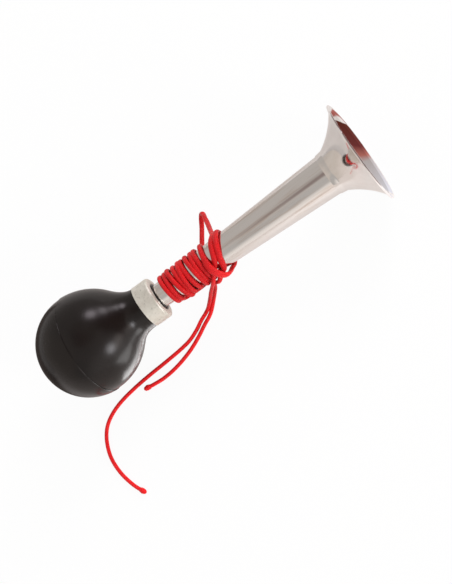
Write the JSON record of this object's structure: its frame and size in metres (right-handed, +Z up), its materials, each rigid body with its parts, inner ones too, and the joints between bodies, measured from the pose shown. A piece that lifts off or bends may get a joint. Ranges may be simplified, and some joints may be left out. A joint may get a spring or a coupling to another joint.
{
  "type": "bulb horn",
  "caption": "Hand horn: a rubber bulb blows a brass reed in a plated conical tube that opens into a flared bell; a red cord is wound and hitched round the tube.",
  "frame": {"origin": "middle of the horn's length on the surface that it lies on", "axes": "+X along the horn towards the bell, +Z up"},
  "size_m": [0.2299, 0.1245, 0.065],
  "materials": {
    "rubber": "satin moulded rubber",
    "collar_metal": "dull, lightly brushed",
    "plated_metal": "polished plating",
    "reed_brass": "plain brass",
    "cord": "satin cord"
  },
  "bodies": {
    "horn": {"bulb_front": "rubber", "collar": "collar_metal", "horn_tube": "plated_metal", "bell": "plated_metal", "reed_body": "reed_brass", "reed_wedge": "reed_brass", "reed_ring": "reed_brass", "cord_winding": "cord", "cord_loop": "cord", "cord_tail_short": "cord", "cord_tail_long": "cord", "cord_bead_short": "cord", "cord_bead_long": "cord"},
    "bulb_end": {"bulb_rear": "rubber"},
    "tongue": {"reed_tongue": "reed_brass"}
  },
  "joints": [
    {"name": "bulb_squeeze", "type": "slide", "parent": "horn", "child": "bulb_end", "axis": [1, 0, 0], "range_m": [0, 0.018], "stiffness_N_per_m": 900, "deforming": ["bulb_front"]},
    {"name": "reed_vibrate", "type": "hinge", "parent": "horn", "child": "tongue", "pos_m": [-0.0505, 0, 0.03277], "axis": [0, 1, 0], "range_deg": [-1.5, 1.5], "stiffness_Nm_per_rad": 0.02}
  ]
}
